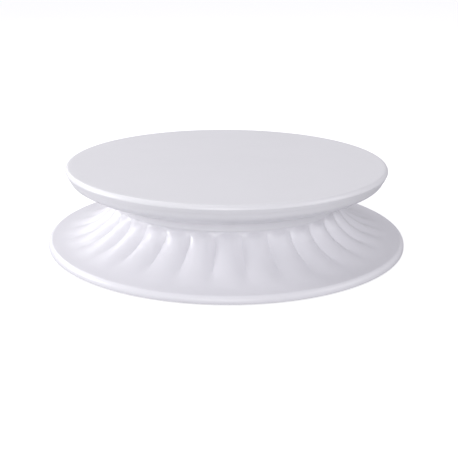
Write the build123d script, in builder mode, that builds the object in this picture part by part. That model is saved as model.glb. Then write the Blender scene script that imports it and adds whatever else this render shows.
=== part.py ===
from build123d import *
from math import cos, radians, sin
import os

# Cake turntable: a flat round plate that turns on a ring of balls above a
# ribbed, trumpet-shaped base.  All sizes in millimetres.  +Z is up, and the
# origin is the bottom centre, on the surface the rubber feet stand on.

os.makedirs("parts", exist_ok=True)

# ---------------------------------------------------------------- overall sizes
plate_diameter = 280.0
base_diameter = 315.0
total_height = 70.0

# ---------------------------------------------------------------- fits
seat_clearance = 0.10
running_clearance = 0.05
end_float = 0.40

# ---------------------------------------------------------------- base shell
foot_stand_off = 0.8
base_lip_height = 6.0
base_lip_round = 4.2
base_wall = 3.0
neck_radius = 98.0
neck_height = 38.0
neck_round = 0.8
flare_top = 35.0
flare_inset = 3.5
well_radius = 92.0
bearing_floor_height = 25.0
floor_thickness = 3.0
hub_radius = 15.0
hub_bottom = 9.6
hub_bore_radius = 8.0

# ---------------------------------------------------------------- ribs on the flare
rib_count = 30
rib_height = 4.2
rib_first_valley = 7.15
# Places down the flare (0 at the neck, 90 at the foot) and the share of the
# full rib height there.
rib_profile = (
    (0, 0),
    (3, 0.30),
    (7, 0.72),
    (11, 0.93),
    (17, 1.0),
    (26, 0.95),
    (36, 0.82),
    (46, 0.64),
    (56, 0.43),
    (65, 0.22),
    (74, 0.06),
    (80, 0),
)
flare_end_angle = 90
foot_curve_step = 2
inner_curve_angles = (90, 75, 60, 50, 40, 30)

# ---------------------------------------------------------------- web under the base
web_count = 12
web_thickness = 2.4
web_inner_angle = 30
web_outer_angle = 70
web_step_angle = 10

# ---------------------------------------------------------------- ball race
ball_count = 12
ball_radius = 4.0
ball_pitch_radius = 66.0
race_inner_radius = 58.0
race_outer_radius = 78.0
race_thickness = 4.0
race_groove_depth = 1.0
cage_thickness = 3.0
cage_margin = 3.0

# ---------------------------------------------------------------- plate
collar_radius = 101.0
collar_bottom = 37.2
collar_wall = 2.2
collar_top = 43.6
collar_round = 0.9
shell_floor_bottom = 39.0
plate_edge_round = 3.4
plate_thickness = 3.0
plate_rim_height = 6.8
plate_rim_wall = 4.5
plate_rim_taper = 1.2
plate_rim_lower_round = 0.8
plate_rib_depth = 6.0
plate_rib_thickness = 2.0
plate_rib_inset = 16.0
plate_inner_ring_radius = 50.0
plate_outer_ring_inset = 30.0
# Outside of the bowl under the plate, from its top edge down to the collar, as
# shares of the way out from the collar and up from the collar's top.
bowl_shape = (
    (1.0, 1.0),
    (0.935, 0.745),
    (0.789, 0.551),
    (0.541, 0.337),
    (0.297, 0.173),
    (0.095, 0.051),
    (0.0, 0.0),
)
bowl_edge_inset = 2.0
bowl_wall_in = 2.8
bowl_wall_up = 2.6
spigot_height = 2.6
spigot_wall = 2.4
flange_seat_wall = 2.4

# ---------------------------------------------------------------- spindle
spindle_radius = 5.0
spindle_flange_radius = 12.0
spindle_flange_thickness = 3.0
spindle_stub_height = 2.0
bush_flange_radius = 11.0
bush_flange_thickness = 1.5
thrust_washer_thickness = 1.2
end_washer_radius = 10.0
end_washer_thickness = 1.5
end_screw_radius = 2.5
end_screw_length = 12.0
end_screw_head_radius = 4.75
end_screw_head_height = 2.6
end_screw_head_round = 1.2
end_screw_hex_radius = 1.8
end_screw_hex_depth = 1.4

# ---------------------------------------------------------------- screws
race_screw_count = 4
race_screw_circle = 74.0
race_screw_radius = 1.5
race_screw_head_radius = 2.8
race_screw_head_height = 1.3
race_screw_length = 9.0
race_screw_tip = 1.2
race_boss_radius = 4.0
race_boss_floor = 1.5
race_screw_start = 45.0
plate_screw_count = 6
plate_screw_circle = 85.0
plate_screw_radius = 1.75
plate_screw_head_radius = 3.4
plate_screw_head_height = 2.2
plate_screw_length = 16.0
plate_screw_tip = 1.5
plate_screw_start = 15.0
plate_boss_radius = 4.5
cross_slot_width = 0.9
cross_slot_depth = 1.1

# ---------------------------------------------------------------- feet
foot_count = 6
foot_circle = 143.0
foot_radius = 7.0
foot_height = 2.8
foot_edge_round = 0.6
foot_socket_wall = 2.5
foot_boss_top = 6.2
foot_start = 15.0

# ---------------------------------------------------------------- worked-out sizes
plate_radius = plate_diameter / 2
base_radius = base_diameter / 2
base_lip_top = foot_stand_off + base_lip_height
flare_outer_radius = base_radius - flare_inset
flare_width = flare_outer_radius - neck_radius
flare_drop = flare_top - base_lip_top
floor_underside = bearing_floor_height - floor_thickness
rib_pitch = 360 / rib_count
rib_start = rib_first_valley - 90
lower_race_top = bearing_floor_height + race_thickness
ball_centre_height = lower_race_top - race_groove_depth + ball_radius
upper_race_bottom = shell_floor_bottom - race_thickness
shell_floor_top = shell_floor_bottom + floor_thickness
plate_underside = total_height - plate_thickness
plate_rim_bottom = total_height - plate_rim_height
plate_rim_inner = plate_radius - plate_rim_wall
plate_rib_reach = plate_radius - plate_rib_inset
plate_outer_ring_radius = plate_radius - plate_outer_ring_inset
bowl_width = plate_radius - bowl_edge_inset - collar_radius
bowl_depth = plate_rim_bottom - collar_top
bowl_curve = [
    (collar_radius + out * bowl_width, collar_top + up * bowl_depth) for out, up in bowl_shape
]
flange_top = shell_floor_top + spindle_flange_thickness
spindle_bottom = hub_bottom - thrust_washer_thickness - end_float
end_washer_bottom = spindle_bottom - end_washer_thickness


def flare_point(angle, inset=0.0):
    """Point on the flare, 0 at the neck and 90 at the foot, pushed inwards."""
    normal_r, normal_z = flare_normal(angle)
    r = flare_outer_radius - flare_width * cos(radians(angle)) - inset * normal_r
    z = flare_top - flare_drop * sin(radians(angle)) - inset * normal_z
    return r, z


def flare_normal(angle):
    """Outward direction of the flare surface as (radial, up)."""
    along_r = flare_width * sin(radians(angle))
    along_z = flare_drop * cos(radians(angle))
    length = (along_r**2 + along_z**2) ** 0.5
    return along_z / length, along_r / length


def on_circle(radius, angle):
    """Point on a circle about the axis, angle in degrees from +X."""
    return radius * cos(radians(angle)), radius * sin(radians(angle))


def scalloped_outline(angle, share):
    """Level outline of the ribbed flare at one place down it, one arc for each rib."""
    valley_radius, height = flare_point(angle)
    crest_radius = valley_radius + share * rib_height / flare_normal(angle)[0]
    arcs = []
    for number in range(rib_count):
        valley = rib_start + number * rib_pitch
        start = Vector(*on_circle(valley_radius, valley), height)
        middle = Vector(*on_circle(crest_radius, valley + rib_pitch / 2), height)
        end = Vector(*on_circle(valley_radius, valley + rib_pitch), height)
        arcs.append(Edge.make_three_point_arc(start, middle, end))
    return Wire(arcs)


def save(part, name):
    """Label a finished piece and write it to its own file."""
    part.label = name
    export_step(part, "parts/" + name + ".step")


def make_screw(way, shank_radius, head_radius, head_height, shank_end, tip, countersunk):
    """One cross-head screw: head face at the origin, shank along +Z or -Z (way)."""
    with BuildPart() as screw:
        with BuildSketch(Plane.XZ):
            with BuildLine():
                Line((0, 0), (head_radius, 0))
                if countersunk:
                    Line((head_radius, 0), (shank_radius, way * head_height))
                else:
                    Line((head_radius, 0), (head_radius, way * head_height))
                    Line((head_radius, way * head_height), (shank_radius, way * head_height))
                Line((shank_radius, way * head_height), (shank_radius, way * shank_end))
                Line((shank_radius, way * shank_end), (0, way * (shank_end + tip)))
                Line((0, way * (shank_end + tip)), (0, 0))
            make_face()
        revolve(axis=Axis.Z)
        with BuildSketch(Plane.XY):
            Rectangle(cross_slot_width, head_radius)
            Rectangle(head_radius, cross_slot_width)
        extrude(amount=way * cross_slot_depth, mode=Mode.SUBTRACT)
    return screw.part


# ---------------------------------------------------------------- one web under the base
# Upright web that joins the hub to the underside of the floor and the flare.
with BuildPart() as web:
    with BuildSketch(Plane.XZ):
        with BuildLine():
            web_points = [(hub_radius - web_thickness, floor_underside + floor_thickness / 2)]
            web_points += [(neck_radius - base_wall, floor_underside + floor_thickness / 2)]
            web_points += [
                flare_point(angle, base_wall / 2)
                for angle in range(web_inner_angle, web_outer_angle + 1, web_step_angle)
            ]
            web_points += [(hub_radius - web_thickness, hub_bottom + web_thickness)]
            Polyline(*web_points, close=True)
        make_face()
    extrude(amount=web_thickness / 2, both=True)

# ---------------------------------------------------------------- base shell
# Trumpet-shaped shell: flat rim and bearing well on top, ribs down the flare,
# a plain rounded lip, and a hub, webs, screw bosses and foot sockets below.
# The ribs are one skin of scalloped outlines, tallest just under the neck and
# fading to a plain circle at both ends.
with BuildPart() as base_shell:
    add(Solid.make_loft([scalloped_outline(angle, share) for angle, share in rib_profile]))
    rib_foot_angle = rib_profile[-1][0]
    rib_foot_height = flare_point(rib_foot_angle)[1]
    neck_join_height = flare_point(rib_profile[0][0])[1]
    with BuildSketch(Plane.XZ):
        lip_centre_height = base_lip_top - base_lip_round
        foot_angles = range(rib_foot_angle, flare_end_angle + 1, foot_curve_step)
        foot_curve = [flare_point(angle) for angle in foot_angles]
        with BuildLine():
            Line((0, foot_stand_off), (base_radius, foot_stand_off))
            Line((base_radius, foot_stand_off), (base_radius, lip_centre_height))
            CenterArc(
                (base_radius - base_lip_round, lip_centre_height), base_lip_round, 0, 90
            )
            Line((base_radius - base_lip_round, base_lip_top), foot_curve[-1])
            Spline(*foot_curve)
            Line(foot_curve[0], (0, rib_foot_height))
            Line((0, rib_foot_height), (0, foot_stand_off))
        make_face()
        with BuildLine():
            Line((0, neck_join_height), (neck_radius, neck_join_height))
            Line((neck_radius, neck_join_height), (neck_radius, neck_height - neck_round))
            CenterArc((neck_radius - neck_round, neck_height - neck_round), neck_round, 0, 90)
            Line((neck_radius - neck_round, neck_height), (0, neck_height))
            Line((0, neck_height), (0, neck_join_height))
        make_face()
    revolve(axis=Axis.Z)
    with BuildSketch(Plane.XZ):
        lip_inner = base_radius - base_wall
        inner_curve = [flare_point(angle, base_wall) for angle in inner_curve_angles]
        with BuildLine():
            Polyline(
                (0, 0),
                (lip_inner, 0),
                (lip_inner, inner_curve[0][1]),
                *inner_curve,
                (inner_curve[-1][0], floor_underside),
                (0, floor_underside),
                close=True,
            )
        make_face()
    revolve(axis=Axis.Z, mode=Mode.SUBTRACT)
    with BuildSketch(Plane.XY.offset(bearing_floor_height)):
        Circle(well_radius)
    extrude(amount=total_height, mode=Mode.SUBTRACT)
    with PolarLocations(0, web_count):
        add(web.part)
    with BuildSketch(Plane.XY.offset(hub_bottom)):
        Circle(hub_radius)
    extrude(amount=floor_underside + floor_thickness / 2 - hub_bottom)
    with BuildSketch(Plane.XY.offset(hub_bottom)):
        Circle(hub_bore_radius)
    extrude(amount=bearing_floor_height - hub_bottom, mode=Mode.SUBTRACT)
    race_hole_bottom = lower_race_top - race_screw_length - race_screw_tip
    with BuildSketch(Plane.XY.offset(race_hole_bottom - race_boss_floor)):
        with PolarLocations(race_screw_circle, race_screw_count, start_angle=race_screw_start):
            Circle(race_boss_radius)
    extrude(amount=floor_underside + floor_thickness / 2 - race_hole_bottom + race_boss_floor)
    with BuildSketch(Plane.XY.offset(bearing_floor_height)):
        with PolarLocations(race_screw_circle, race_screw_count, start_angle=race_screw_start):
            Circle(race_screw_radius)
    extrude(amount=race_hole_bottom - bearing_floor_height, mode=Mode.SUBTRACT)
    with BuildSketch(Plane.XY.offset(foot_stand_off)):
        with PolarLocations(foot_circle, foot_count, start_angle=foot_start):
            Circle(foot_radius + foot_socket_wall)
    extrude(amount=foot_boss_top - foot_stand_off)
    with BuildSketch(Plane.XY.offset(foot_stand_off)):
        with PolarLocations(foot_circle, foot_count, start_angle=foot_start):
            Circle(foot_radius)
    extrude(amount=foot_height - foot_stand_off, mode=Mode.SUBTRACT)
save(base_shell.part, "base_shell")

# ---------------------------------------------------------------- rubber feet
for number in range(foot_count):
    foot_angle = foot_start + number * 360 / foot_count
    with BuildPart() as foot:
        with BuildSketch(Plane.XY.rotated((0, 0, foot_angle))):
            with Locations((foot_circle, 0)):
                Circle(foot_radius)
        extrude(amount=foot_height)
        fillet(foot.faces().sort_by(Axis.Z)[0].edges(), foot_edge_round)
    save(foot.part, "foot_" + str(number + 1))

# ---------------------------------------------------------------- lower bearing race
# Flat steel ring with a shallow round groove for the balls, screwed to the floor.
race_screw_hole_radius = race_screw_radius + seat_clearance
with BuildPart() as lower_race:
    with BuildSketch(Plane.XY.offset(bearing_floor_height)):
        Circle(race_outer_radius)
        Circle(race_inner_radius, mode=Mode.SUBTRACT)
    extrude(amount=race_thickness)
    with BuildSketch(Plane.XZ):
        with Locations((ball_pitch_radius, ball_centre_height)):
            Circle(ball_radius + running_clearance)
    revolve(axis=Axis.Z, mode=Mode.SUBTRACT)
    with Locations((0, 0, lower_race_top)):
        with PolarLocations(race_screw_circle, race_screw_count, start_angle=race_screw_start):
            CounterSinkHole(
                race_screw_hole_radius, race_screw_head_radius + seat_clearance, race_thickness
            )
save(lower_race.part, "lower_race")

# ---------------------------------------------------------------- lower race screws
lower_race_screw = make_screw(
    -1,
    race_screw_radius,
    race_screw_head_radius,
    race_screw_head_height,
    race_screw_length,
    race_screw_tip,
    True,
)
with BuildPart() as lower_race_screws:
    with Locations((0, 0, lower_race_top)):
        with PolarLocations(race_screw_circle, race_screw_count, start_angle=race_screw_start):
            add(lower_race_screw)
save(lower_race_screws.part, "lower_race_screws")

# ---------------------------------------------------------------- centre bush
# Flanged plain bearing, pressed into the hub from above.
with BuildPart() as centre_bush:
    with BuildSketch(Plane.XY.offset(hub_bottom)):
        Circle(hub_bore_radius)
    extrude(amount=bearing_floor_height - hub_bottom)
    with BuildSketch(Plane.XY.offset(bearing_floor_height)):
        Circle(bush_flange_radius)
    extrude(amount=bush_flange_thickness)
    with BuildSketch(Plane.XY.offset(hub_bottom)):
        Circle(spindle_radius + running_clearance)
    extrude(
        amount=bearing_floor_height + bush_flange_thickness - hub_bottom, mode=Mode.SUBTRACT
    )
save(centre_bush.part, "centre_bush")

# ---------------------------------------------------------------- thrust washer
with BuildPart() as thrust_washer:
    with BuildSketch(Plane.XY.offset(hub_bottom - thrust_washer_thickness)):
        Circle(end_washer_radius)
        Circle(spindle_radius + end_float, mode=Mode.SUBTRACT)
    extrude(amount=thrust_washer_thickness)
save(thrust_washer.part, "thrust_washer")

# ---------------------------------------------------------------- ball cage
with BuildPart() as ball_cage:
    with BuildSketch(Plane.XY.offset(ball_centre_height - cage_thickness / 2)):
        Circle(ball_pitch_radius + ball_radius + cage_margin)
        Circle(ball_pitch_radius - ball_radius - cage_margin, mode=Mode.SUBTRACT)
        with PolarLocations(ball_pitch_radius, ball_count):
            Circle(ball_radius + seat_clearance, mode=Mode.SUBTRACT)
    extrude(amount=cage_thickness)
save(ball_cage.part, "ball_cage")

# ---------------------------------------------------------------- bearing balls
for number in range(ball_count):
    ball_angle = radians(number * 360 / ball_count)
    with BuildPart() as ball:
        with Locations(
            (
                ball_pitch_radius * cos(ball_angle),
                ball_pitch_radius * sin(ball_angle),
                ball_centre_height,
            )
        ):
            Sphere(ball_radius)
    save(ball.part, "ball_" + str(number + 1))

# ---------------------------------------------------------------- upper bearing race
with BuildPart() as upper_race:
    with BuildSketch(Plane.XY.offset(upper_race_bottom)):
        Circle(race_outer_radius)
        Circle(race_inner_radius, mode=Mode.SUBTRACT)
    extrude(amount=race_thickness)
    with BuildSketch(Plane.XZ):
        with Locations((ball_pitch_radius, ball_centre_height)):
            Circle(ball_radius + running_clearance)
    revolve(axis=Axis.Z, mode=Mode.SUBTRACT)
    with Locations(Location((0, 0, upper_race_bottom), (180, 0, 0))):
        with PolarLocations(race_screw_circle, race_screw_count, start_angle=race_screw_start):
            CounterSinkHole(
                race_screw_hole_radius, race_screw_head_radius + seat_clearance, race_thickness
            )
save(upper_race.part, "upper_race")

# ---------------------------------------------------------------- upper race screws
upper_race_screw = make_screw(
    1,
    race_screw_radius,
    race_screw_head_radius,
    race_screw_head_height,
    race_screw_length,
    race_screw_tip,
    True,
)
with BuildPart() as upper_race_screws:
    with Locations((0, 0, upper_race_bottom)):
        with PolarLocations(race_screw_circle, race_screw_count, start_angle=race_screw_start):
            add(upper_race_screw)
save(upper_race_screws.part, "upper_race_screws")

# ---------------------------------------------------------------- plate under-shell
# Closed bowl under the plate with a short upright collar; its floor carries the
# upper race and holds the spindle flange.
with BuildPart() as plate_under_shell:
    with BuildSketch(Plane.XZ):
        bowl_inner = [(r - bowl_wall_in, z + bowl_wall_up) for r, z in bowl_curve[1:]]
        bowl_top = bowl_curve[0]
        spigot_radius = plate_rim_inner - seat_clearance
        spigot_top = bowl_top[1] + spigot_height
        inner_floor_radius = bowl_inner[-1][0]
        hub_hole_radius = spindle_radius + seat_clearance
        skirt_inner = collar_radius - collar_wall
        with BuildLine():
            Line((hub_hole_radius, shell_floor_bottom), (skirt_inner, shell_floor_bottom))
            Line((skirt_inner, shell_floor_bottom), (skirt_inner, collar_bottom))
            Line((skirt_inner, collar_bottom), (collar_radius - collar_round, collar_bottom))
            CenterArc(
                (collar_radius - collar_round, collar_bottom + collar_round), collar_round, 270, 90
            )
            Line((collar_radius, collar_bottom + collar_round), bowl_curve[-1])
            Spline(*bowl_curve)
            Line(bowl_top, (spigot_radius, bowl_top[1]))
            Line((spigot_radius, bowl_top[1]), (spigot_radius, spigot_top))
            Line((spigot_radius, spigot_top), (spigot_radius - spigot_wall, spigot_top))
            Line((spigot_radius - spigot_wall, spigot_top), bowl_inner[0])
            Spline(*bowl_inner)
            Line(bowl_inner[-1], (inner_floor_radius, shell_floor_top))
            Line((inner_floor_radius, shell_floor_top), (hub_hole_radius, shell_floor_top))
            Line((hub_hole_radius, shell_floor_top), (hub_hole_radius, shell_floor_bottom))
        make_face()
    revolve(axis=Axis.Z)
    with BuildSketch(Plane.XY.offset(shell_floor_top)):
        Circle(spindle_flange_radius + seat_clearance + flange_seat_wall)
        Circle(spindle_flange_radius + seat_clearance, mode=Mode.SUBTRACT)
    extrude(amount=spindle_flange_thickness)
    race_hole_top = upper_race_bottom + race_screw_length + race_screw_tip
    with BuildSketch(Plane.XY.offset(shell_floor_top - floor_thickness / 2)):
        with PolarLocations(race_screw_circle, race_screw_count, start_angle=race_screw_start):
            Circle(race_boss_radius)
    extrude(amount=race_hole_top + race_boss_floor - shell_floor_top + floor_thickness / 2)
    with BuildSketch(Plane.XY.offset(shell_floor_bottom)):
        with PolarLocations(race_screw_circle, race_screw_count, start_angle=race_screw_start):
            Circle(race_screw_radius)
    extrude(amount=race_hole_top - shell_floor_bottom, mode=Mode.SUBTRACT)
    with BuildSketch(Plane.XY.offset(shell_floor_bottom)):
        with PolarLocations(plate_screw_circle, plate_screw_count, start_angle=plate_screw_start):
            Circle(plate_screw_radius + seat_clearance)
    extrude(amount=floor_thickness, mode=Mode.SUBTRACT)
save(plate_under_shell.part, "plate_under_shell")

# ---------------------------------------------------------------- top plate
# Flat round disc with a rounded rim.  Underneath are stiffening ribs, six long
# screw bosses and a centre boss that clamps the spindle flange.
with BuildPart() as top_plate:
    with BuildSketch(Plane.XZ):
        rim_bottom_radius = plate_radius - plate_rim_taper
        rim_turn = plate_rim_bottom + plate_rim_lower_round
        rim_corner = total_height - plate_edge_round
        with BuildLine():
            Line((0, plate_underside), (0, total_height))
            Line((0, total_height), (plate_radius - plate_edge_round, total_height))
            CenterArc((plate_radius - plate_edge_round, rim_corner), plate_edge_round, 0, 90)
            Line((plate_radius, rim_corner), (rim_bottom_radius, rim_turn))
            Line(
                (rim_bottom_radius, rim_turn),
                (rim_bottom_radius - plate_rim_lower_round, plate_rim_bottom),
            )
            Line(
                (rim_bottom_radius - plate_rim_lower_round, plate_rim_bottom),
                (plate_rim_inner, plate_rim_bottom),
            )
            Line((plate_rim_inner, plate_rim_bottom), (plate_rim_inner, plate_underside))
            Line((plate_rim_inner, plate_underside), (0, plate_underside))
        make_face()
    revolve(axis=Axis.Z)
    with BuildSketch(Plane.XY.offset(plate_underside + plate_thickness / 2)):
        with PolarLocations(plate_rib_reach / 2, web_count):
            Rectangle(plate_rib_reach, plate_rib_thickness)
        for ring_radius in (plate_inner_ring_radius, plate_outer_ring_radius):
            Circle(ring_radius + plate_rib_thickness / 2)
            Circle(ring_radius - plate_rib_thickness / 2, mode=Mode.SUBTRACT)
            with PolarLocations(plate_rib_reach / 2, web_count):
                Rectangle(plate_rib_reach, plate_rib_thickness)
    extrude(amount=-plate_rib_depth - plate_thickness / 2)
    with BuildSketch(Plane.XY.offset(shell_floor_top)):
        with PolarLocations(plate_screw_circle, plate_screw_count, start_angle=plate_screw_start):
            Circle(plate_boss_radius)
    extrude(amount=plate_underside + plate_thickness / 2 - shell_floor_top)
    with BuildSketch(Plane.XY.offset(shell_floor_top)):
        with PolarLocations(plate_screw_circle, plate_screw_count, start_angle=plate_screw_start):
            Circle(plate_screw_radius)
    extrude(amount=plate_screw_length + plate_screw_tip - floor_thickness, mode=Mode.SUBTRACT)
    with BuildSketch(Plane.XY.offset(flange_top)):
        Circle(spindle_flange_radius)
    extrude(amount=plate_underside + plate_thickness / 2 - flange_top)
    with BuildSketch(Plane.XY.offset(flange_top)):
        Circle(spindle_radius + seat_clearance)
    extrude(amount=spindle_stub_height + seat_clearance, mode=Mode.SUBTRACT)
save(top_plate.part, "top_plate")

# ---------------------------------------------------------------- plate screws
plate_screw = make_screw(
    1,
    plate_screw_radius,
    plate_screw_head_radius,
    plate_screw_head_height,
    plate_screw_head_height + plate_screw_length,
    plate_screw_tip,
    False,
)
with BuildPart() as plate_screws:
    with Locations((0, 0, shell_floor_bottom - plate_screw_head_height)):
        with PolarLocations(plate_screw_circle, plate_screw_count, start_angle=plate_screw_start):
            add(plate_screw)
save(plate_screws.part, "plate_screws")

# ---------------------------------------------------------------- centre spindle
with BuildPart() as centre_spindle:
    with BuildSketch(Plane.XY.offset(spindle_bottom)):
        Circle(spindle_radius)
    extrude(amount=flange_top + spindle_stub_height - spindle_bottom)
    with BuildSketch(Plane.XY.offset(shell_floor_top)):
        Circle(spindle_flange_radius)
    extrude(amount=spindle_flange_thickness)
    with BuildSketch(Plane.XY.offset(spindle_bottom)):
        Circle(end_screw_radius)
    extrude(amount=end_screw_length, mode=Mode.SUBTRACT)
save(centre_spindle.part, "centre_spindle")

# ---------------------------------------------------------------- end washer
with BuildPart() as end_washer:
    with BuildSketch(Plane.XY.offset(end_washer_bottom)):
        Circle(end_washer_radius)
        Circle(end_screw_radius + seat_clearance, mode=Mode.SUBTRACT)
    extrude(amount=end_washer_thickness)
save(end_washer.part, "end_washer")

# ---------------------------------------------------------------- end screw
# Button-head screw with a hexagon socket; it keeps the plate from lifting off.
with BuildPart() as end_screw:
    with BuildSketch(Plane.XY.offset(end_washer_bottom - end_screw_head_height)):
        Circle(end_screw_head_radius)
    extrude(amount=end_screw_head_height)
    with BuildSketch(Plane.XY.offset(end_washer_bottom)):
        Circle(end_screw_radius)
    extrude(amount=end_screw_length)
    fillet(end_screw.faces().sort_by(Axis.Z)[0].edges(), end_screw_head_round)
    with BuildSketch(Plane.XY.offset(end_washer_bottom - end_screw_head_height)):
        RegularPolygon(end_screw_hex_radius, 6)
    extrude(amount=end_screw_hex_depth, mode=Mode.SUBTRACT)
save(end_screw.part, "end_screw")
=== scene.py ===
# %% [markdown]
# # A cake turntable, piece by piece
# The object is a flat round plate on a bowl-shaped underside. It turns on a ring
# of steel balls above a ribbed, trumpet-shaped base. All of it that shows is
# white moulded plastic, so form, edges and gloss have to do the work that
# colour does elsewhere.
#
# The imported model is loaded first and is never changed: it fixes every size and
# the axis that things turn on.

# %% Load the fixed frame
from math import atan2, cos, hypot, pi, radians, sin

import bmesh
import bpy
from mathutils import Euler, Matrix, Vector


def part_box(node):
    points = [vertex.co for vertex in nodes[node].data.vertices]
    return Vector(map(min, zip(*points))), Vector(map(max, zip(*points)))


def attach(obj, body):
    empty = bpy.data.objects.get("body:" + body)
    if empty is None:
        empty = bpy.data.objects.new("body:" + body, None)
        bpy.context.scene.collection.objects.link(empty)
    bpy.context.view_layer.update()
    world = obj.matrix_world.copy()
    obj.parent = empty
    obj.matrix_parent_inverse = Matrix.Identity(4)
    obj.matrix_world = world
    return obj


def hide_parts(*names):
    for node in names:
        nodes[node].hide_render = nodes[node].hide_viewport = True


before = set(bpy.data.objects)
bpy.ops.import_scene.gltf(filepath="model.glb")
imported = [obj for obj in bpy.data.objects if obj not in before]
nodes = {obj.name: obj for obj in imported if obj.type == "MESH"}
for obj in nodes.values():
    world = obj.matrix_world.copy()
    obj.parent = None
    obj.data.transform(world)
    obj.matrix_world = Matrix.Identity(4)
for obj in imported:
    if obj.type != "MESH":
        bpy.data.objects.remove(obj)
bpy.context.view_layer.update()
MM = 0.001
print("CAD nodes:", len(nodes))

# %% [markdown]
# ## Measures
# Each height and radius is read from a node's box where the box has it. The rest
# are the maker's own wall thicknesses and roundings, in metres, so that the
# pieces made here sit exactly where the frame says.

# %% Measures from the frame
base_low, base_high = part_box("base_shell")
plate_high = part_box("top_plate")[1]
bowl_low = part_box("plate_under_shell")[0]
race_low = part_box("lower_race")[0]
foot_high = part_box("foot_1")[1]

base_radius = base_high.x
plate_radius = plate_high.x
deck_height = base_high.z
stand_off = base_low.z
collar_low = bowl_low.z
plate_top = plate_high.z
well_floor = race_low.z
pole_radius = 0.1 * MM
print("plate radius", round(plate_radius, 4), "base radius", round(base_radius, 4))

# %% [markdown]
# ## Two helpers
# Round pieces are drawn as half a section and spun about the upright axis, the
# way they would be turned or moulded. `arc` rounds a corner of the section, and
# `spun` draws the section point by point with extrude and then spins it.

# %% Section and spin helpers
def arc(centre, radius, start, end, steps):
    """Points on a rounded corner of a section; angles in degrees from straight out."""
    points = []
    for step in range(steps + 1):
        angle = radians(start + (end - start) * step / steps)
        points.append((centre[0] + radius * cos(angle), centre[1] + radius * sin(angle)))
    return points


def start_edit(mesh_object):
    """Make one object active, select nothing in it and enter edit mode."""
    bpy.ops.object.select_all(action="DESELECT")
    mesh_object.select_set(True)
    bpy.context.view_layer.objects.active = mesh_object
    bpy.ops.object.mode_set(mode="EDIT")
    bpy.ops.mesh.select_all(action="DESELECT")


def settle(mesh_object):
    """Put the object's place and size into its mesh, and its origin at the frame's origin."""
    bpy.ops.object.select_all(action="DESELECT")
    mesh_object.select_set(True)
    bpy.context.view_layer.objects.active = mesh_object
    bpy.ops.object.transform_apply(location=True, rotation=True, scale=True)


def spun(name, section, steps, first_angle=0.0):
    """A closed section (radius, height) turned once round the upright axis."""
    bpy.ops.object.select_all(action="DESELECT")
    bpy.ops.mesh.primitive_plane_add(size=1, location=(0, 0, 0))
    piece = bpy.context.object
    piece.name = name
    piece.data.name = name
    bpy.ops.object.mode_set(mode="EDIT")
    bpy.ops.mesh.select_all(action="SELECT")
    bpy.ops.mesh.merge(type="CENTER")
    across, along = cos(first_angle), sin(first_angle)
    place = Vector((0, 0, 0))
    for number, (r, z) in enumerate(section):
        target = Vector((r * across, r * along, z))
        if number == 0:
            bpy.ops.transform.translate(value=target - place)
        else:
            bpy.ops.mesh.extrude_region_move(
                TRANSFORM_OT_translate={"value": target - place}
            )
        place = target
    bpy.ops.mesh.select_all(action="SELECT")
    bpy.ops.mesh.spin(
        steps=steps, angle=2 * pi, center=(0, 0, 0), axis=(0, 0, 1), use_auto_merge=True
    )
    bpy.ops.mesh.select_all(action="SELECT")
    bpy.ops.mesh.remove_doubles(threshold=0.000001)
    bpy.ops.mesh.normals_make_consistent(inside=False)
    bpy.ops.object.mode_set(mode="OBJECT")
    settle(piece)
    return piece

# %% [markdown]
# ## Moulded plastic
# White plastic is never one flat white. It has a very fine texture from the
# mould, a slow waviness in its gloss, and a trace of handling haze. These are
# wanted on several materials, so they are one node group with its own controls;
# each material adds its own shader and values.

# %% Node group for moulded plastic
def new_group(name, inputs, outputs):
    """An empty node group with the given float or colour sockets."""
    group = bpy.data.node_groups.new(name, "ShaderNodeTree")
    for label, kind, value in inputs:
        socket = group.interface.new_socket(label, in_out="INPUT", socket_type=kind)
        socket.default_value = value
    for label, kind in outputs:
        group.interface.new_socket(label, in_out="OUTPUT", socket_type=kind)
    return group


def link(tree, start, start_socket, end, end_socket):
    """Join two nodes by the names or numbers of their sockets."""
    tree.links.new(start.outputs[start_socket], end.inputs[end_socket])


moulded = new_group(
    "moulded_surface",
    [
        ("Colour", "NodeSocketColor", (0.8, 0.8, 0.8, 1)),
        ("Haze Colour", "NodeSocketColor", (0.7, 0.7, 0.7, 1)),
        ("Haze", "NodeSocketFloat", 0.2),
        ("Low Gloss", "NodeSocketFloat", 0.25),
        ("High Gloss", "NodeSocketFloat", 0.4),
        ("Grain Scale", "NodeSocketFloat", 900.0),
        ("Wave Scale", "NodeSocketFloat", 22.0),
    ],
    [
        ("Colour", "NodeSocketColor"),
        ("Roughness", "NodeSocketFloat"),
        ("Height", "NodeSocketFloat"),
    ],
)
gn = moulded.nodes
group_in = gn.new("NodeGroupInput")
group_out = gn.new("NodeGroupOutput")
place = gn.new("ShaderNodeTexCoord")
grain = gn.new("ShaderNodeTexNoise")
grain.inputs["Detail"].default_value = 3.0
wave = gn.new("ShaderNodeTexNoise")
wave.inputs["Detail"].default_value = 2.0
haze = gn.new("ShaderNodeTexNoise")
haze.inputs["Scale"].default_value = 9.0
haze.inputs["Detail"].default_value = 4.0
haze_share = gn.new("ShaderNodeMapRange")
haze_share.inputs["From Min"].default_value = 0.45
haze_share.inputs["From Max"].default_value = 0.75
haze_amount = gn.new("ShaderNodeMath")
haze_amount.operation = "MULTIPLY"
mixed = gn.new("ShaderNodeMix")
mixed.data_type = "RGBA"
gloss = gn.new("ShaderNodeMapRange")
gloss.inputs["From Min"].default_value = 0.35
gloss.inputs["From Max"].default_value = 0.65
height = gn.new("ShaderNodeMath")
height.operation = "MULTIPLY_ADD"
height.inputs[1].default_value = 0.35
for texture, scale in ((grain, "Grain Scale"), (wave, "Wave Scale")):
    link(moulded, place, "Object", texture, "Vector")
    link(moulded, group_in, scale, texture, "Scale")
link(moulded, place, "Object", haze, "Vector")
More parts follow.
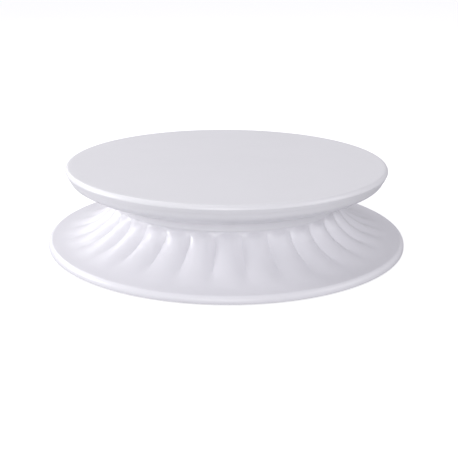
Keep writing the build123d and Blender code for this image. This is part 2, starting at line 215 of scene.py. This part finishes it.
link(moulded, haze, "Fac", haze_share, "Value")
link(moulded, haze_share, "Result", haze_amount, 0)
link(moulded, group_in, "Haze", haze_amount, 1)
link(moulded, haze_amount, 0, mixed, "Factor")
link(moulded, group_in, "Colour", mixed, 6)
link(moulded, group_in, "Haze Colour", mixed, 7)
link(moulded, wave, "Fac", gloss, "Value")
link(moulded, group_in, "Low Gloss", gloss, "To Min")
link(moulded, group_in, "High Gloss", gloss, "To Max")
link(moulded, grain, "Fac", height, 0)
link(moulded, wave, "Fac", height, 2)
link(moulded, mixed, 2, group_out, "Colour")
link(moulded, gloss, "Result", group_out, "Roughness")
link(moulded, height, 0, group_out, "Height")
print("moulded surface nodes:", len(gn))

# %% [markdown]
# Each finish is a Principled shader fed by the group. The bump is kept to a few
# hundredths of a millimetre, because the real skin only softens reflections.

# %% Plastic, nylon and rubber
def moulded_material(name, colour, haze_colour, settings, bump, coat=0.0):
    """A plastic or rubber finish: settings are the group's own input values."""
    material = bpy.data.materials.new(name)
    material.use_nodes = True
    tree = material.node_tree
    shader = tree.nodes["Principled BSDF"]
    group = tree.nodes.new("ShaderNodeGroup")
    group.node_tree = moulded
    group.inputs["Colour"].default_value = (*colour, 1)
    group.inputs["Haze Colour"].default_value = (*haze_colour, 1)
    for label, value in settings.items():
        group.inputs[label].default_value = value
    relief = tree.nodes.new("ShaderNodeBump")
    relief.inputs["Strength"].default_value = bump
    relief.inputs["Distance"].default_value = 0.00006
    shader.inputs["IOR"].default_value = 1.5
    shader.inputs["Coat Weight"].default_value = coat
    shader.inputs["Coat Roughness"].default_value = 0.12
    link(tree, group, "Colour", shader, "Base Color")
    link(tree, group, "Roughness", shader, "Roughness")
    link(tree, group, "Height", relief, "Height")
    link(tree, relief, "Normal", shader, "Normal")
    return material


plate_plastic = moulded_material(
    "white_plate_plastic",
    (0.745, 0.741, 0.768),
    (0.70, 0.696, 0.724),
    {"Haze": 0.30, "Low Gloss": 0.30, "High Gloss": 0.38, "Grain Scale": 1400.0},
    bump=0.25,
)
base_plastic = moulded_material(
    "white_base_plastic",
    (0.748, 0.741, 0.778),
    (0.705, 0.698, 0.735),
    {"Haze": 0.30, "Low Gloss": 0.30, "High Gloss": 0.40, "Grain Scale": 1400.0},
    bump=0.25,
)
nylon = moulded_material(
    "natural_nylon",
    (0.80, 0.77, 0.68),
    (0.66, 0.62, 0.52),
    {"Haze": 0.5, "Low Gloss": 0.42, "High Gloss": 0.55, "Grain Scale": 2200.0},
    bump=0.35,
)
foot_rubber = moulded_material(
    "grey_foot_rubber",
    (0.34, 0.34, 0.34),
    (0.46, 0.45, 0.44),
    {"Haze": 0.8, "Low Gloss": 0.68, "High Gloss": 0.85, "Grain Scale": 3000.0},
    bump=0.8,
)

# %% [markdown]
# ## Steel
# Three steels are inside: turned races with fine rings left by the lathe,
# polished balls, and plated screws with small scuffs. The rings are a wave
# texture round the upright axis.

# %% Steel finishes
def steel_material(name, colour, ring_scale, low_gloss, high_gloss, bump):
    """Metal with turning rings about the upright axis and a patchy shine."""
    material = bpy.data.materials.new(name)
    material.use_nodes = True
    tree = material.node_tree
    shader = tree.nodes["Principled BSDF"]
    shader.inputs["Metallic"].default_value = 1.0
    where = tree.nodes.new("ShaderNodeTexCoord")
    rings = tree.nodes.new("ShaderNodeTexWave")
    rings.wave_type = "RINGS"
    rings.rings_direction = "Z"
    rings.inputs["Scale"].default_value = ring_scale
    rings.inputs["Distortion"].default_value = 0.6
    rings.inputs["Detail"].default_value = 2.0
    patches = tree.nodes.new("ShaderNodeTexNoise")
    patches.inputs["Scale"].default_value = 180.0
    patches.inputs["Detail"].default_value = 5.0
    shine = tree.nodes.new("ShaderNodeMapRange")
    shine.inputs["To Min"].default_value = low_gloss
    shine.inputs["To Max"].default_value = high_gloss
    tint = tree.nodes.new("ShaderNodeMix")
    tint.data_type = "RGBA"
    tint.inputs[6].default_value = (*colour, 1)
    tint.inputs[7].default_value = (*[0.8 * part for part in colour], 1)
    relief = tree.nodes.new("ShaderNodeBump")
    relief.inputs["Strength"].default_value = bump
    relief.inputs["Distance"].default_value = 0.00003
    link(tree, where, "Object", rings, "Vector")
    link(tree, where, "Object", patches, "Vector")
    link(tree, patches, "Fac", shine, "Value")
    link(tree, patches, "Fac", tint, "Factor")
    link(tree, tint, 2, shader, "Base Color")
    link(tree, shine, "Result", shader, "Roughness")
    link(tree, rings, "Fac", relief, "Height")
    link(tree, relief, "Normal", shader, "Normal")
    return material


race_steel = steel_material("turned_race_steel", (0.56, 0.57, 0.59), 900.0, 0.24, 0.42, 0.5)
ball_steel = steel_material("polished_ball_steel", (0.72, 0.73, 0.75), 60.0, 0.05, 0.12, 0.02)
plated_steel = steel_material("plated_screw_steel", (0.66, 0.66, 0.64), 1500.0, 0.2, 0.36, 0.3)

# %% Finishes on the frame's own pieces
finishes = {
    "ball_cage": nylon,
    "centre_bush": nylon,
    "thrust_washer": nylon,
    "lower_race": race_steel,
    "upper_race": race_steel,
    "centre_spindle": race_steel,
    "lower_race_screws": plated_steel,
    "upper_race_screws": plated_steel,
    "plate_screws": plated_steel,
    "end_washer": plated_steel,
    "end_screw": plated_steel,
    "base_shell": base_plastic,
    "top_plate": plate_plastic,
    "plate_under_shell": plate_plastic,
}
for name, node in nodes.items():
    finish = finishes.get(name)
    if name.startswith("ball_") and name != "ball_cage":
        finish = ball_steel
    if name.startswith("foot_"):
        finish = foot_rubber
    node.data.materials.clear()
    node.data.materials.append(finish)
print("nodes with a finish:", len(nodes))

# %% [markdown]
# ## The plate
# The plate is one flat moulded disc. What gives it away as plastic is its rim: a
# generous rounding on top, an upright band, and a small rounding where it meets
# the bowl below. The section is drawn once and spun. The stiffening ribs inside
# are closed in by the bowl, so the disc is modelled as it is seen, with the
# rebate that the bowl's edge sits in.

# %% Plate
skin = 3.0 * MM
edge_round = 3.4 * MM
rim_depth = 6.8 * MM
rim_taper = 1.2 * MM
rim_wall = 4.5 * MM
rim_low_round = 0.8 * MM
rim_low = plate_top - rim_depth
rim_foot_radius = plate_radius - rim_taper

plate_section = [(pole_radius, plate_top)]
for share in (0.25, 0.5, 0.75, 0.9, 0.96):
    plate_section.append((share * plate_radius, plate_top))
round_centre = (plate_radius - edge_round, plate_top - edge_round)
plate_section += arc(round_centre, edge_round, 90, 0, 10)
round_centre = (rim_foot_radius - rim_low_round, rim_low + rim_low_round)
plate_section += arc(round_centre, rim_low_round, 0, -90, 4)
plate_section += [
    (plate_radius - rim_wall, rim_low),
    (plate_radius - rim_wall, plate_top - skin),
    (0.5 * plate_radius, plate_top - skin),
    (pole_radius, plate_top - skin),
]
round_steps = 256
plate = spun("plate", plate_section, round_steps)


crease_angle = radians(28)


def close_holes(piece):
    """Fill the pinholes a spin leaves on the axis, so that the mesh is closed."""
    start_edit(piece)
    bpy.ops.mesh.select_non_manifold()
    bpy.ops.mesh.edge_face_add()
    bpy.ops.mesh.select_all(action="SELECT")
    bpy.ops.mesh.normals_make_consistent(inside=False)
    bpy.ops.object.mode_set(mode="OBJECT")


def dress(piece, body, material, slot, *replaced):
    """Give a finished piece its shading, finish, body and place in the frame."""
    bpy.ops.object.select_all(action="DESELECT")
    piece.select_set(True)
    bpy.context.view_layer.objects.active = piece
    bpy.ops.object.shade_smooth_by_angle(angle=crease_angle)
    piece.data.materials.clear()
    piece.data.materials.append(material)
    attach(piece, body)
    if replaced:
        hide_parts(*replaced)
    print(piece.name, "faces:", len(piece.data.polygons))


close_holes(plate)
dress(plate, "plate", plate_plastic, "plate_white", "top_plate")

# %% [markdown]
# ## The bowl under the plate
# The underside is a shallow bowl that ends in an upright collar, which hangs over
# the neck of the base like a small skirt and hides the running gap. It is spun
# from one section too. The curve is smooth, so it is drawn as a chain of points
# on a curve through a few chosen places.

# %% Bowl
def smooth_chain(places, steps):
    """Points on a smooth curve through the given places."""
    ends = [places[0], *places, places[-1]]
    chain = [places[0]]
    for number in range(len(places) - 1):
        p0, p1, p2, p3 = (Vector(place) for place in ends[number:number + 4])
        for step in range(1, steps + 1):
            t = step / steps
            point = 0.5 * (
                2 * p1
                + (p2 - p0) * t
                + (2 * p0 - 5 * p1 + 4 * p2 - p3) * t * t
                + (3 * p1 - p0 - 3 * p2 + p3) * t * t * t
            )
            chain.append((point.x, point.y))
    return chain


collar_radius = 101.0 * MM
collar_wall = 2.2 * MM
collar_top = 43.6 * MM
bowl_shape = [
    (1.0, 1.0), (0.935, 0.745), (0.789, 0.551), (0.541, 0.337),
    (0.297, 0.173), (0.095, 0.051), (0.0, 0.0),
]
bowl_edge_inset = 2.0 * MM
bowl_width = plate_radius - bowl_edge_inset - collar_radius
bowl_depth = rim_low - collar_top
bowl_places = [
    (collar_radius + out * bowl_width, collar_top + up * bowl_depth) for out, up in bowl_shape
]
bowl_outer = smooth_chain(bowl_places, 5)
bowl_wall_in = 2.8 * MM
bowl_wall_up = 2.6 * MM
inner_places = [(r - bowl_wall_in, z + bowl_wall_up) for r, z in bowl_places[1:]]
bowl_inner = smooth_chain(inner_places, 3)
floor_low = 39.0 * MM
floor_high = 42.0 * MM
floor_rings = (60 * MM, 90 * MM)
bore = 5.1 * MM
skirt_inner = collar_radius - collar_wall
collar_round = 0.9 * MM
bowl_section = [(bore, floor_low)]
bowl_section += [(r, floor_low) for r in floor_rings]
bowl_section += [(skirt_inner, floor_low), (skirt_inner, collar_low)]
round_centre = (collar_radius - collar_round, collar_low + collar_round)
bowl_section += arc(round_centre, collar_round, -90, 0, 5)
bowl_section += bowl_outer[::-1]
spigot_radius = plate_radius - rim_wall - 0.1 * MM
spigot_top = rim_low + 2.6 * MM
spigot_wall = 2.4 * MM
bowl_section += [
    (spigot_radius, rim_low),
    (spigot_radius, spigot_top),
    (spigot_radius - spigot_wall, spigot_top),
]
bowl_section += bowl_inner
bowl_section += [(bowl_inner[-1][0], floor_high), (floor_rings[0], floor_high), (bore, floor_high)]
bowl_section.append(bowl_section[0])
bowl = spun("bowl", bowl_section, round_steps)
dress(bowl, "plate", plate_plastic, "plate_white", "plate_under_shell")

# %% [markdown]
# ## The ribbed base
# The base is the showpiece: thirty rounded ribs run down a trumpet-shaped flare,
# with a sharp valley between each pair. They start as small arches under the
# neck and die away before the lip. The plain section is spun first, with ten
# steps to each rib, and then the points between two valleys are pushed outwards
# ring by ring, as a potter would press out a fluted pot.

# %% Base section
rib_count = 30
steps_per_rib = 10
rib_height = 4.2 * MM
first_valley = radians(7.15 - 90)
neck_radius = 98.0 * MM
neck_round = 0.8 * MM
well_radius = 92.0 * MM
flare_top = 35.0 * MM
lip_top = stand_off + 6.0 * MM
lip_round = 4.2 * MM
lip_low_round = 0.5 * MM
wall = 3.0 * MM
flare_inset = 3.5 * MM
flare_edge = base_radius - flare_inset
flare_across = flare_edge - neck_radius
flare_drop = flare_top - lip_top


def flare(angle, inset=0.0):
    """Place on the flare, 0 at the neck and 90 at the foot, and its slope's outward part."""
    out, up = flare_drop * cos(radians(angle)), flare_across * sin(radians(angle))
    size = hypot(out, up)
    r = flare_edge - flare_across * cos(radians(angle)) - inset * out / size
    z = flare_top - flare_drop * sin(radians(angle)) - inset * up / size
    return r, z, out / size


rib_shape = [
    (0, 0), (3, 0.30), (7, 0.72), (11, 0.93), (17, 1.0), (26, 0.95),
    (36, 0.82), (46, 0.64), (56, 0.43), (65, 0.22), (74, 0.06), (80, 0),
]


def rib_share(angle):
    """Share of the full rib height at one place down the flare, straight between the given ones."""
    if angle <= rib_shape[0][0] or angle >= rib_shape[-1][0]:
        return 0.0
    for (a, low), (b, high) in zip(rib_shape, rib_shape[1:]):
        if a <= angle <= b:
            return low + (high - low) * (angle - a) / (b - a)


flare_angles = [0, 1, 2, 3, 4, 5.5, 7, 9, 11, 14, 17, 20, 23, 26, 29.5, 33, 36.5, 40, 43.5, 47]
flare_angles += [50, 53, 56, 59, 62, 65, 68, 71, 74, 77, 80, 85, 90]
rings = [flare(angle) for angle in flare_angles]
neck_turn = deck_height - neck_round
base_section = [(well_radius, well_floor), (well_radius, neck_turn)]
base_section += arc((well_radius + neck_round, neck_turn), neck_round, 180, 90, 3)
base_section += arc((neck_radius - neck_round, neck_turn), neck_round, 90, 0, 5)
base_section += [(r, z) for r, z, _ in rings]
base_section += arc((base_radius - lip_round, lip_top - lip_round), lip_round, 90, 0, 8)
round_centre = (base_radius - lip_low_round, stand_off + lip_low_round)
base_section += arc(round_centre, lip_low_round, 0, -90, 3)
base_section += [(base_radius - wall, stand_off)]
base_section += [(base_radius - wall, flare(90, wall)[1])]
base_section += [flare(angle, wall)[:2] for angle in range(90, 29, -6)]
inner_top = base_section[-1][0]
hub_bore = 8.0 * MM
hub_radius = 15.0 * MM
hub_low = 9.6 * MM
floor_under = 22.0 * MM
under_ring = 60.0 * MM
well_ring = 50.0 * MM
base_section += [
    (inner_top, floor_under),
    (under_ring, floor_under),
    (hub_radius, floor_under),
    (hub_radius, hub_low),
    (hub_bore, hub_low),
    (hub_bore, well_floor),
    (well_ring, well_floor),
    (well_radius, well_floor),
]
base = spun("ribbed_base", base_section, rib_count * steps_per_rib, first_valley)
print("base section points:", len(base_section))

# %% Press out the ribs
level_match = 0.001 * MM
radius_match = 0.01 * MM


def press_ribs(piece):
    """Move each point of a flare ring outwards by its share of an arc between two valleys."""
    start_edit(piece)
    mesh = bmesh.from_edit_mesh(piece.data)
    pitch = 2 * pi / rib_count
    for angle, (r, z, out) in zip(flare_angles, rings):
        share = rib_share(angle)
        if share <= 0:
            continue
        lift = share * rib_height / out
        ring = [
            v for v in mesh.verts
            if abs(v.co.z - z) < level_match and abs(hypot(v.co.x, v.co.y) - r) < radius_match
        ]
        for step in range(1, steps_per_rib // 2 + 1):
            across = 2 * step / steps_per_rib - 1
            for vertex in mesh.verts:
                vertex.select = False
            for vertex in ring:
                turn = (atan2(vertex.co.y, vertex.co.x) - first_valley) % pitch / pitch
                near = round(turn * steps_per_rib) % steps_per_rib
                if near in (step, steps_per_rib - step):
                    vertex.select = True
            factor = (r + lift * (1 - across * across)) / r
            bmesh.update_edit_mesh(piece.data)
            bpy.ops.transform.resize(value=(factor, factor, 1), center_override=(0, 0, 0))
    bpy.ops.object.mode_set(mode="OBJECT")


press_ribs(base)
dress(base, "base", base_plastic, "base_white", "base_shell")

# %% [markdown]
# ## Under the base
# Turn the base over and it is a hollow moulding: a dozen thin webs tie the hub to
# the flare, four blind bosses take the screws of the lower race, and six round
# sockets hold the rubber feet. One of each is modelled, then copied round.

# %% Copy a piece round the axis
def copies_round(piece, count, name):
    """Copy a piece evenly round the upright axis, each with its own mesh, as one object."""
    made = [piece]
    for number in range(1, count):
        twin = piece.copy()
        twin.data = piece.data.copy()
        bpy.context.scene.collection.objects.link(twin)
        twin.rotation_euler.z = 2 * pi * number / count
        made.append(twin)
    bpy.ops.object.select_all(action="DESELECT")
    for each in made:
        each.select_set(True)
    bpy.context.view_layer.objects.active = piece
    bpy.ops.object.transform_apply(location=True, rotation=True, scale=True)
    bpy.ops.object.join()
    piece.name = name
    piece.data.name = name
    return piece


# %% Webs
web_thickness = 2.4 * MM
web_count = 12
web_top = floor_under + 1.5 * MM
web_outline = [(hub_radius - web_thickness, web_top), (neck_radius - wall, web_top)]
web_outline += [flare(angle, wall / 2)[:2] for angle in (30, 40, 50, 60, 70)]
web_outline += [(hub_radius - web_thickness, hub_low + web_thickness)]
bpy.ops.object.select_all(action="DESELECT")
bpy.ops.mesh.primitive_plane_add(size=1)
web = bpy.context.object
bpy.ops.object.mode_set(mode="EDIT")
bpy.ops.mesh.merge(type="CENTER")
spot = Vector((0, 0, 0))
for number, (r, z) in enumerate(web_outline):
    target = Vector((r, -web_thickness / 2, z))
    if number == 0:
        bpy.ops.transform.translate(value=target - spot)
    else:
        bpy.ops.mesh.extrude_region_move(TRANSFORM_OT_translate={"value": target - spot})
    spot = target
bpy.ops.mesh.select_all(action="SELECT")
bpy.ops.mesh.edge_face_add()
bpy.ops.mesh.extrude_region_move(TRANSFORM_OT_translate={"value": (0, web_thickness, 0)})
bpy.ops.mesh.select_all(action="SELECT")
bpy.ops.mesh.normals_make_consistent(inside=False)
bpy.ops.object.mode_set(mode="OBJECT")
settle(web)
webs = copies_round(web, web_count, "base_webs")
dress(webs, "base", base_plastic, "base_white")

# %% Screw bosses and foot sockets
boss_edge = 0.5 * MM


def boss(name, circle, angle, radius, low, high, recess_radius, recess_depth):
    """A short round boss with either a softened lower edge or, if asked, a round recess in its
    lower face instead.
    """
    bpy.ops.object.select_all(action="DESELECT")
    bpy.ops.mesh.primitive_cylinder_add(
        vertices=48,
        radius=radius,
        depth=high - low,
        location=(circle * cos(radians(angle)), circle * sin(radians(angle)), (low + high) / 2),
    )
    piece = bpy.context.object
    piece.name = name
    settle(piece)
    start_edit(piece)
    mesh = bmesh.from_edit_mesh(piece.data)
    bpy.ops.mesh.select_mode(type="FACE")
    for face in mesh.faces:
        face.select = face.normal.z < -0.9
    bmesh.update_edit_mesh(piece.data)
    if recess_depth:
        bpy.ops.mesh.inset(thickness=radius - recess_radius)
        bpy.ops.mesh.extrude_region_move(TRANSFORM_OT_translate={"value": (0, 0, recess_depth)})
    else:
        bpy.ops.mesh.bevel(offset=boss_edge, segments=3)
    bpy.ops.object.mode_set(mode="OBJECT")
    return piece


screw_circle = 74.0 * MM
screw_boss_radius = 4.0 * MM
screw_boss_low = 17.3 * MM
screw_boss = boss("screw_boss", screw_circle, 45, screw_boss_radius, screw_boss_low, web_top, 0, 0)
dress(copies_round(screw_boss, 4, "base_screw_bosses"), "base", base_plastic, "base_white")

foot_circle = 143.0 * MM
foot_radius = 7.0 * MM
socket_wall = 2.5 * MM
socket_top = 6.2 * MM
socket_depth = foot_high.z - stand_off
foot_socket = boss(
    "foot_socket", foot_circle, 15, foot_radius + socket_wall, stand_off, socket_top,
    foot_radius, socket_depth,
)
dress(copies_round(foot_socket, 6, "foot_sockets"), "base", base_plastic, "base_white")

# %% [markdown]
# ## Camera, light and floor
# The view is from the front and a little above. Five soft boxes light the
# object in a pale room: the strongest is low in front, the next is on the left
# and makes the bright rib edges there, and the rest only fill.

# %% Camera
camera_data = bpy.data.cameras.new("front_view")
camera = bpy.data.objects.new("front_view", camera_data)
bpy.context.scene.collection.objects.link(camera)
bpy.context.scene.camera = camera
camera_data.lens = 62.97
camera_data.sensor_width = 36.0
camera_distance = 4.919 * plate_radius
camera_height = 1.676 * plate_radius
look_down = radians(18.345)
look_right = radians(0.195)
camera_roll = radians(0.368)
aim = Euler((pi / 2 - look_down, 0, -look_right)).to_matrix().to_4x4()
place = Matrix.Translation((0, -camera_distance, camera_height))
camera.matrix_world = place @ aim @ Matrix.Rotation(camera_roll, 4, "Z")
camera_data.dof.use_dof = False
print("camera at", [round(part, 3) for part in camera.location])

# %% [markdown]
# ## Floor
# A white floor throws so much light back up that the edge of the base would
# vanish into it. So the floor returns only part of the light that falls on it,
# and the rest of its white is a glow that only the camera sees.

# %% Floor
floor_glow = 0.7
bpy.ops.object.select_all(action="DESELECT")
bpy.ops.mesh.primitive_plane_add(size=60, location=(0, 0, 0))
floor = bpy.context.object
floor.name = "floor"
floor_paint = bpy.data.materials.new("pale_floor")
floor_paint.use_nodes = True
floor_nodes = floor_paint.node_tree.nodes
floor_shader = floor_nodes["Principled BSDF"]
floor_shader.inputs["Base Color"].default_value = (0.5, 0.5, 0.52, 1)
floor_shader.inputs["Roughness"].default_value = 0.9
floor_shader.inputs["Specular IOR Level"].default_value = 0.1
floor_shader.inputs["Emission Color"].default_value = (1, 1, 1, 1)
seen_straight = floor_nodes.new("ShaderNodeLightPath")
glow = floor_nodes.new("ShaderNodeMath")
glow.operation = "MULTIPLY"
glow.inputs[1].default_value = floor_glow
floor_paint.node_tree.links.new(seen_straight.outputs["Is Camera Ray"], glow.inputs[0])
floor_paint.node_tree.links.new(glow.outputs[0], floor_shader.inputs["Emission Strength"])
floor.data.materials.append(floor_paint)

# %% Light
def soft_light(name, place, size, power, target=(0, 0, 0.03)):
    """A square soft box that faces the object."""
    data = bpy.data.lights.new(name, "AREA")
    data.shape = "SQUARE"
    data.size = size
    data.energy = power
    lamp = bpy.data.objects.new(name, data)
    bpy.context.scene.collection.objects.link(lamp)
    lamp.location = place
    towards = Vector(target) - Vector(place)
    lamp.rotation_euler = towards.to_track_quat("-Z", "Y").to_euler()
    return lamp


soft_light("soft_front", (-0.15, -2.4, 0.8), 1.3, 25)
soft_light("soft_left", (-1.9, 0.1, 0.7), 0.7, 21)
soft_light("soft_back_left", (-1.4, 1.3, 0.9), 0.9, 9)
soft_light("soft_above_behind", (-0.9, 1.2, 1.7), 0.9, 5)
soft_light("soft_right", (1.9, -0.6, 0.9), 1.0, 8)

# %% [markdown]
# The room lights the object with one strength and shows itself to the camera
# with a higher one, so that the background stays white from every side.

# %% Room
room_strength = 0.56
backdrop_extra = 0.6
room = bpy.data.worlds.new("white_room")
room.use_nodes = True
room_nodes = room.node_tree.nodes
background = room_nodes["Background"]
background.inputs["Color"].default_value = (0.96, 0.945, 1, 1)
room_light = room_nodes.new("ShaderNodeMath")
room_light.operation = "MULTIPLY_ADD"
room_light.inputs[1].default_value = backdrop_extra
room_light.inputs[2].default_value = room_strength
seen_room = room_nodes.new("ShaderNodeLightPath")
room.node_tree.links.new(seen_room.outputs["Is Camera Ray"], room_light.inputs[0])
room.node_tree.links.new(room_light.outputs[0], background.inputs["Strength"])
bpy.context.scene.world = room
bpy.context.scene.view_settings.view_transform = "Standard"
bpy.context.scene.view_settings.look = "None"
